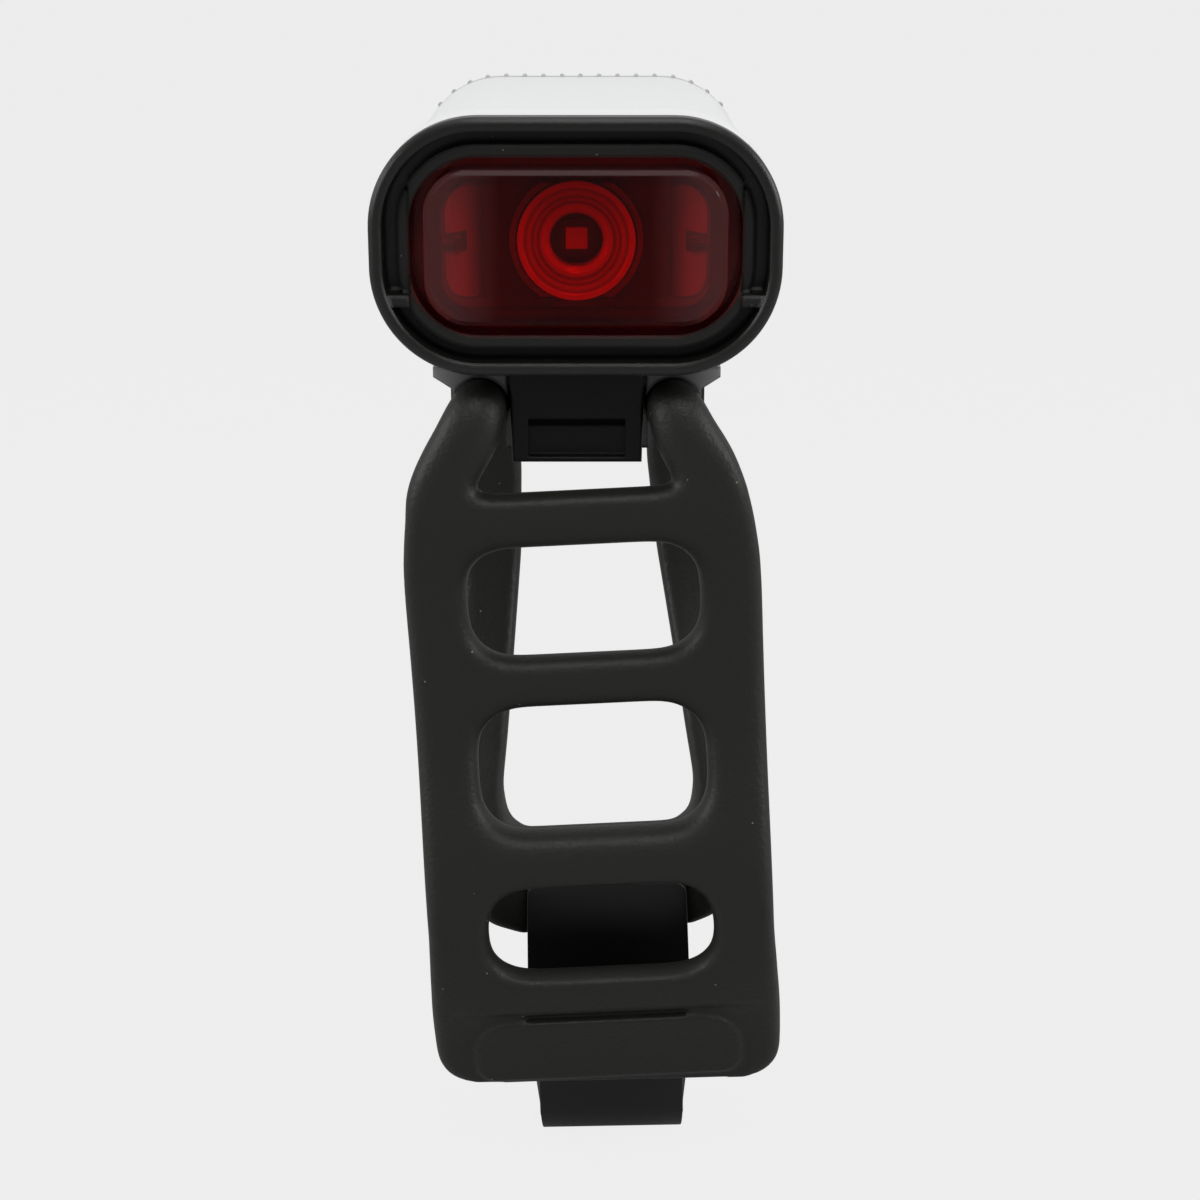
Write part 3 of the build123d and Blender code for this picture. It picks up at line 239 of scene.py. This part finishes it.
def plastic(name, color, roughness, specular=0.5, bump=0.0, grain=1000, edge=0.0):
    """A plain moulded surface with an optional fine grain."""
    mat, tree, bsdf = principled(name, color, roughness, specular)
    if bump:
        add_grain(tree, bsdf, bump, grain, edge)
    return mat


def metal(name, color, roughness):
    """A plain metal surface."""
    return principled(name, color, roughness, metallic=1.0)[0]


def dusty(name, color, roughness, specular, bump, dust, spacing, size, share, edge=0.0):
    """A surface with pale specks of dust, size mm in radius, in a share of the cells that lie
    spacing mm apart."""
    mat, tree, bsdf = principled(name, color, roughness, specular)
    coord = tree.nodes.new("ShaderNodeTexCoord")
    cells = tree.nodes.new("ShaderNodeTexVoronoi")
    cells.inputs["Scale"].default_value = 1 / (spacing * MM)
    chance = tree.nodes.new("ShaderNodeSeparateColor")
    tree.links.new(coord.outputs["Object"], cells.inputs["Vector"])
    tree.links.new(cells.outputs["Color"], chance.inputs[0])
    speck = calc(tree, "LESS_THAN", cells.outputs["Distance"], size / spacing)
    chosen = calc(tree, "LESS_THAN", chance.outputs[0], share)
    both = calc(tree, "MULTIPLY", speck, chosen)
    tree.links.new(mixed_color(tree, both, color, dust), bsdf.inputs["Base Color"])
    add_grain(tree, bsdf, bump, 2500, edge)
    return mat


def clear(name, tint, roughness):
    """A clear moulding: tinted light passes, with a Fresnel gloss and a little haze.

    Also gives the sockets for the haze's colour, the haze and the gloss.
    """
    mat, tree, out = new_material(name)
    through = tree.nodes.new("ShaderNodeBsdfTransparent")
    through.inputs[0].default_value = tint
    milk = tree.nodes.new("ShaderNodeBsdfDiffuse")
    gloss = tree.nodes.new("ShaderNodeBsdfGlossy")
    gloss.inputs["Roughness"].default_value = roughness
    fresnel = tree.nodes.new("ShaderNodeFresnel")
    fresnel.inputs["IOR"].default_value = 1.45
    share = calc(tree, "MULTIPLY", fresnel.outputs[0], 1.0)
    cloudy = mixed_shader(tree, through, milk)
    mix = mixed_shader(tree, cloudy, gloss)
    tree.links.new(share, mix.inputs[0])
    tree.links.new(mix.outputs[0], out.inputs[0])
    return mat, tree, milk.inputs[0], cloudy.inputs[0], share.node.inputs[1]


def red_cover(name):
    """Clear red plastic with a painted pale sheen in its haze towards its two ends and a
    painted highlight in its haze on its chamfer; its gloss grows there too.
    """
    mat, tree, milk, haze, gloss = clear(name, (0.93, 0.02, 0.022, 1), 0.04)
    milk.default_value = rgb(225, 150, 150)
    axes = object_axes(tree)
    side = from_middle(tree, axes[0], 0.0)
    height = from_middle(tree, axes[2], AXIS_Z)
    chamfer = (LENS_FACE_HALF_Z, LENS_FACE_HALF_Z + 0.2)
    # Painted sheen towards the ends and painted highlight on the chamfer, through the haze
    # share
    painted_end_sheen = ranged_mm(tree, side, 6.5, 11, 0.012, 0.066)
    painted_chamfer_highlight = ranged_mm(tree, height, *chamfer, 0.0, 0.045)
    end_gloss = ranged_mm(tree, side, 7, 12.5, 0.1, 0.4)
    chamfer_gloss = ranged_mm(tree, height, *chamfer, 0.0, 1.0)
    tree.links.new(calc(tree, "MAXIMUM", painted_end_sheen, painted_chamfer_highlight), haze)
    tree.links.new(calc(tree, "MAXIMUM", end_gloss, chamfer_gloss), gloss)
    return mat


def ringed_optic(name):
    """Clear moulding whose stepped rings get painted highlights in turn, as pale and dark
    levels in its haze colour.
    """
    mat, tree, milk, haze, gloss = clear(name, (0.9, 0.9, 0.9, 1), 0.08)
    gloss.default_value = 0.6
    haze.default_value = 0.55
    axes = object_axes(tree)
    centred = calc(tree, "SUBTRACT", axes[2], AXIS_Z * MM)
    radius = flat_length(tree, axes[0], centred)
    optic_radius = 6
    # Each ring's radius and the level of its painted highlight
    ring_highlight_levels = ((2.3, 0.3), (2.6, 1.0), (3.2, 1.0), (3.35, 0.25), (3.7, 0.7), (3.9, 0.3))
    ring_highlight_levels += ((4.2, 0.85), (4.6, 0.4), (4.8, 1.0), (5.25, 1.0))
    rings = tree.nodes.new("ShaderNodeValToRGB")
    ramp = rings.color_ramp
    while len(ramp.elements) < len(ring_highlight_levels):
        ramp.elements.new(0.5)
    for element, (ring_radius, level) in zip(ramp.elements, ring_highlight_levels):
        element.position = ring_radius / optic_radius
        element.color = (level, level, level, 1)
    tree.links.new(ranged_mm(tree, radius, 0, optic_radius, 0.0, 1.0), rings.inputs[0])
    tree.links.new(rings.outputs[0], milk)
    return mat


def lamp_face(name):
    """Dark package with a pale square die window in its middle."""
    package = rgb(60, 60, 60)
    mat, tree, bsdf = principled(name, package, 0.4)
    axes = object_axes(tree)
    near_x = calc(tree, "COMPARE", axes[0], 0.0, DIE_HALF * MM)
    near_z = calc(tree, "COMPARE", axes[2], AXIS_Z * MM, DIE_HALF * MM)
    window = calc(tree, "MULTIPLY", near_x, near_z)
    die = mixed_color(tree, window, package, rgb(205, 195, 150))
    tree.links.new(die, bsdf.inputs["Base Color"])
    return mat


def holder_plastic(name):
    """Grey moulding, pale on its raised band and ramps; its sunken plate is painted dark as
    shade.
    """
    raised = rgb(132, 132, 132)
    mat, tree, bsdf = principled(name, raised, 0.35)
    # Painted shade: darker where the plate lies further back
    painted_depth_shade = ranged_mm(tree, object_axes(tree)[1], FRONT_Y + 4.6, FRONT_Y + 6.8, 0.0, 1.0)
    tree.links.new(mixed_color(tree, painted_depth_shade, raised, rgb(38, 38, 40)), bsdf.inputs["Base Color"])
    return mat


def blend_color(mat, factor, color):
    """The base colour goes over into a second colour by the factor."""
    tree = mat.node_tree
    bsdf = next(node for node in tree.nodes if node.type == "BSDF_PRINCIPLED")
    base = bsdf.inputs["Base Color"]
    before = base.links[0].from_socket if base.links else base.default_value
    tree.links.new(mixed_color(tree, factor, before, color), base)


def painted_wing_sheen(mat):
    """Painted reflection: the front faces of the bracket's two wings go pale towards their
    outer ends.
    """
    tree = mat.node_tree
    axes = object_axes(tree)
    front = node_box("bracket")[0][1] / MM
    side = ranged_mm(tree, from_middle(tree, axes[0], 0.0), 9.5, 13, 0.0, 1.0)
    near = ranged_mm(tree, axes[1], front + 2.5, front + 5, 1.0, 0.0)
    blend_color(mat, calc(tree, "MULTIPLY", side, near), rgb(150, 150, 152))


def painted_rear_shade(mat):
    """Painted shade: the white shell turns grey over a narrow band along its rear edge."""
    tree = mat.node_tree
    start = node_box("upper_housing")[1][1] / MM - REAR_SHADE_DEPTH
    line = ranged_mm(tree, object_axes(tree)[1], start, start + 0.1, 0.0, 1.0)
    blend_color(mat, line, rgb(192, 193, 194))


def white_behind_rim(mat):
    """The bezel's outer surface is white above the split line, from just behind its rim."""
    tree = mat.node_tree
    axes = object_axes(tree)
    side = from_middle(tree, axes[0], 0.0)
    height = from_middle(tree, axes[2], AXIS_Z)
    past_side = beyond(tree, side, BEZEL_HALF_X - BEZEL_CORNER)
    past_height = beyond(tree, height, BEZEL_HALF_Z - BEZEL_CORNER)
    reach = flat_length(tree, past_side, past_height)
    outer = ranged_mm(tree, reach, BEZEL_CORNER - 0.3, BEZEL_CORNER - 0.25, 0.0, 1.0)
    upper = ranged_mm(tree, axes[2], AXIS_Z, AXIS_Z + 0.05, 0.0, 1.0)
    rim_y = FRONT_Y + RIM_DEPTH
    behind = ranged_mm(tree, axes[1], rim_y, rim_y + 0.1, 0.0, 1.0)
    white = calc(tree, "MULTIPLY", calc(tree, "MULTIPLY", outer, upper), behind)
    blend_color(mat, white, SHELL_WHITE)


# Materials of the part
wing_black = plastic(
    "wing_black", rgb(9, 9, 9), 0.22, specular=0.8, bump=0.05, grain=1500, edge=0.5
)
# Painted reflection: pale front ends on the bracket's wings
painted_wing_sheen(wing_black)
black_satin = plastic(
    "black_satin", rgb(9, 9, 8), 0.38, specular=0.22, bump=0.12, grain=2500, edge=0.35
)
hook_black = plastic("hook_black", rgb(12, 12, 11), 0.45, specular=0.4, bump=0.08, grain=1800)
bezel_black = dusty(
    "bezel_black", rgb(14, 14, 12), 0.36, specular=0.5, bump=0.1,
    dust=rgb(95, 95, 90), spacing=0.9, size=0.09, share=0.1, edge=0.6,
)
white_behind_rim(bezel_black)
white_gloss = dusty(
    "white_gloss", SHELL_WHITE, 0.3, specular=0.3, bump=0.05,
    dust=rgb(170, 170, 170), spacing=1.1, size=0.1, share=0.12,
)
# Painted shade: a grey band along the white shell's rear edge
painted_rear_shade(white_gloss)
rubber = dusty(
    "strap_rubber", rgb(27, 27, 24), 0.52, specular=0.38, bump=0.35,
    dust=rgb(120, 118, 108), spacing=1.1, size=0.09, share=0.09,
)
soft_rubber = plastic("soft_rubber", rgb(22, 22, 22), 0.65, specular=0.25, bump=0.3, grain=3000)
steel = metal("steel", rgb(190, 190, 190), 0.3)
bare_aluminium = metal("bare_aluminium", rgb(205, 205, 208), 0.35)
board_green = plastic("board_green", rgb(24, 70, 45), 0.45)
board_dark = plastic("board_dark", rgb(58, 58, 56), 0.4)
seal_black = plastic("seal_black", rgb(22, 20, 20), 0.6)
wire_red = plastic("wire_red", rgb(150, 20, 20), 0.45)
cell_blue = plastic("cell_blue", rgb(110, 120, 140), 0.35)
die_yellow = lamp_face("die_yellow")
holder_grey = holder_plastic("holder_grey")
red_lens = red_cover("red_lens")
clear_optic = ringed_optic("clear_optic")

# The CAD nodes and what each is made of
LOOKS = {
    "front_bezel": bezel_black,
    "lens": red_lens,
    "lens_seal": seal_black,
    "optic": clear_optic,
    "optic_holder": holder_grey,
    "led": die_yellow,
    "led_board": board_dark,
    "board_screws": steel,
    "heat_spreader": bare_aluminium,
    "led_leads": wire_red,
    "upper_housing": white_gloss,
    "lower_housing": black_satin,
    "battery_cell": cell_blue,
    "battery_pad": seal_black,
    "battery_leads": wire_red,
    "main_board": board_green,
    "tact_switch": black_satin,
    "usb_socket": steel,
    "rear_cap": black_satin,
    "rear_cap_seal": seal_black,
    "power_button": soft_rubber,
    "port_cover": soft_rubber,
    "cap_screws": steel,
    "bracket": wing_black,
    "release_lever": black_satin,
    "lever_pin": steel,
    "lever_springs": steel,
}
for node, look in LOOKS.items():
    if not nodes[node].material_slots:
        nodes[node].data.materials.append(look)
    for slot in nodes[node].material_slots:
        slot.material = look


# Softer copies of two CAD nodes
def copy_of(node, name):
    """A new object with a welded copy of a CAD node's mesh."""
    mesh = nodes[node].data.copy()
    mesh.name = name
    mesh.materials.clear()
    obj = bpy.data.objects.new(name, mesh)
    bpy.context.collection.objects.link(obj)
    work = bmesh.new()
    work.from_mesh(mesh)
    bmesh.ops.remove_doubles(work, verts=work.verts, dist=1e-7)
    work.to_mesh(mesh)
    work.free()
    return obj


def bake(obj):
    """The object's modifiers become its mesh."""
    graph = bpy.context.evaluated_depsgraph_get()
    mesh = bpy.data.meshes.new_from_object(obj.evaluated_get(graph))
    obj.modifiers.clear()
    obj.data = mesh


def relax(obj, name, iterations, group=""):
    """A Smooth modifier, on the whole object or by a vertex group."""
    smooth = obj.modifiers.new(name, "SMOOTH")
    smooth.factor = 0.5
    smooth.iterations = iterations
    smooth.vertex_group = group


def strap_place(point):
    """A point as x across the leaning strap and h down it."""
    x = point.x / MM
    down = AXIS_Z - point.z / MM - LEAN_PIVOT
    across = x * math.cos(LEAN) - down * math.sin(LEAN)
    return across, x * math.sin(LEAN) + down * math.cos(LEAN) + LEAN_PIVOT


def strap_softness(point):
    """How much smoothing the strap takes: all on the ladder, less behind, little on the pad."""
    across, h = strap_place(point)
    depth = point.y / MM - FRONT_Y
    if depth > LEG_REAR and h > CORDS_END:
        return 0.55
    if depth < PAD_REAR and h > PAD_TOP:
        return clamp((abs(across) - PAD_HALF_WIDTH) / PAD_BLEND, 0.03, 1.0)
    return 1.0


def soft_strap():
    """The ladder strap with rounded windows and edges, inside the CAD strap's box."""
    obj = copy_of("strap", "ladder_strap")
    upright = Matrix.Rotation(LEAN, 4, "Y")
    obj.data.transform(upright)
    remesh = obj.modifiers.new("remesh", "REMESH")
    remesh.mode = "VOXEL"
    remesh.voxel_size = STRAP_VOXEL * MM
    bake(obj)
    obj.data.transform(upright.inverted())

    soft_part = obj.vertex_groups.new(name="soft_part")
    for vertex in obj.data.vertices:
        soft_part.add([vertex.index], strap_softness(vertex.co), "REPLACE")
    relax(obj, "crisp", 6)
    relax(obj, "soften", 230, "soft_part")
    fill = obj.modifiers.new("fill", "DISPLACE")
    fill.strength = STRAP_FILL * MM
    fill.mid_level = 0
    fill.vertex_group = "soft_part"
    thin = obj.modifiers.new("thin", "DECIMATE")
    thin.ratio = 0.3
    bake(obj)

    low, high = node_box("strap")
    for vertex in obj.data.vertices:
        vertex.co = [clamp(vertex.co[i], low[i], high[i]) for i in range(3)]
    for face in obj.data.polygons:
        face.use_smooth = True
    obj.data.materials.append(rubber)
    return obj


def rounded_hook():
    """The hook with rounded edges and a front that narrows below its plate."""
    obj = copy_of("strap_hook", "rounded_hook")
    for vertex in obj.data.vertices:
        down = AXIS_Z - vertex.co.z / MM - HOOK_TOP
        x = vertex.co.x / MM - HOOK_SHIFT
        across = x * math.cos(HOOK_LEAN) - down * math.sin(HOOK_LEAN)
        depth = vertex.co.y / MM - FRONT_Y
        front = clamp((HOOK_FRONT_DEPTH - depth) / HOOK_BLEND, 0.0, 1.0)
        low = clamp((down - HOOK_NARROW_FROM) / HOOK_BLEND, 0.0, 1.0)
        limit = HOOK_HALF_WIDTH - HOOK_NARROWING * front * low
        if abs(across) > limit:
            vertex.co.x += (math.copysign(limit, across) - across) * MM
    flatten = obj.modifiers.new("flatten", "DECIMATE")
    flatten.decimate_type = "DISSOLVE"
    flatten.angle_limit = math.radians(2)
    round_off = obj.modifiers.new("round_off", "BEVEL")
    round_off.width = HOOK_ROUND * MM
    round_off.segments = 3
    round_off.limit_method = "ANGLE"
    round_off.angle_limit = math.radians(50)
    round_off.use_clamp_overlap = True
    bake(obj)
    obj.data.materials.append(hook_black)
    return obj


strap = soft_strap()
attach(strap, "light")
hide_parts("strap")

hook = rounded_hook()
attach(hook, "light")
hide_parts("strap_hook")


# Floor, world and lamps
def pale_glow(tree, kind, strength):
    """A shader of that kind that glows plain and pale."""
    glow = tree.nodes.new(kind)
    glow.inputs[0].default_value = PALE
    glow.inputs[1].default_value = strength
    return glow


def make_floor():
    """A pale floor that glows for the camera, faintly in gloss, and keeps the shadow."""
    half = 6.0
    z = cad_box[0][2] - 0.4 * MM
    places = [(-half, -half, z), (half, -half, z), (half, half, z), (-half, half, z)]
    mesh = bpy.data.meshes.new("floor")
    mesh.from_pydata(places, [], [(0, 1, 2, 3)])
    obj = bpy.data.objects.new("floor", mesh)
    bpy.context.collection.objects.link(obj)

    mat, tree, out = new_material("floor_pale")
    path = tree.nodes.new("ShaderNodeLightPath")
    glow = pale_glow(tree, "ShaderNodeEmission", 1.045)
    matte = tree.nodes.new("ShaderNodeBsdfDiffuse")
    matte.inputs[0].default_value = rgb(165, 165, 165)
    in_gloss = calc(tree, "MULTIPLY", path.outputs["Is Glossy Ray"], 0.15)
    seen = calc(tree, "ADD", in_gloss, path.outputs["Is Camera Ray"])
    mix = mixed_shader(tree, matte, glow)
    tree.links.new(calc(tree, "MULTIPLY", seen, 0.94), mix.inputs[0])
    tree.links.new(mix.outputs[0], out.inputs[0])
    mesh.materials.append(mat)
    return obj


def make_world():
    """A pale backdrop for the camera and soft light that comes mostly from behind the part."""
    world = bpy.data.worlds.new("studio")
    bpy.context.scene.world = world
    world.use_nodes = True
    tree = world.node_tree
    tree.nodes.clear()
    out = tree.nodes.new("ShaderNodeOutputWorld")
    path = tree.nodes.new("ShaderNodeLightPath")
    glow = pale_glow(tree, "ShaderNodeBackground", 1.0)
    soft = tree.nodes.new("ShaderNodeBackground")
    soft.inputs[1].default_value = 1.0
    coord = tree.nodes.new("ShaderNodeTexCoord")
    direction = tree.nodes.new("ShaderNodeSeparateXYZ")
    tree.links.new(coord.outputs["Generated"], direction.inputs[0])
    level = ranged(tree, direction.outputs[1], -0.5, 0.4, 0.2, 0.64)
    tree.links.new(level, soft.inputs[0])
    mix = mixed_shader(tree, soft, glow)
    tree.links.new(path.outputs["Is Camera Ray"], mix.inputs[0])
    tree.links.new(mix.outputs[0], out.inputs[0])


def lamp(name, place, target, size, power):
    """A square area lamp that faces a point. Places and size are in metres."""
    data = bpy.data.lights.new(name, "AREA")
    data.size = size
    data.energy = power
    obj = bpy.data.objects.new(name, data)
    obj.location = place
    aim = Vector(target) - Vector(place)
    obj.rotation_euler = aim.to_track_quat("-Z", "Y").to_euler()
    bpy.context.collection.objects.link(obj)


def make_camera():
    """The camera at the photograph's place, tipped down at the part."""
    data = bpy.data.cameras.new("camera")
    data.sensor_width = 36
    data.lens = 65.28
    data.clip_start = 0.005
    data.clip_end = 10
    obj = bpy.data.objects.new("camera", data)
    obj.location = (2.1 * MM, -209.35 * MM, 47.43 * MM)
    obj.rotation_euler = (math.radians(90 - 18), 0, 0)
    bpy.context.collection.objects.link(obj)
    bpy.context.scene.camera = obj


floor = make_floor()
make_world()
lamp("top", (0.0, 0.0, 0.42), (0, 0, 0), 0.4, 0.27)
for name, side in (("left", -1), ("right", 1)):
    lamp(name, (side * 0.4, -0.12, 0.14), (0, 0, -0.02), 0.2, 0.9)
lamp("front", (0.03, -0.26, 0.36), (0, 0, 0), 0.16, 0.6)
make_camera()
bpy.context.scene.view_settings.view_transform = "Standard"
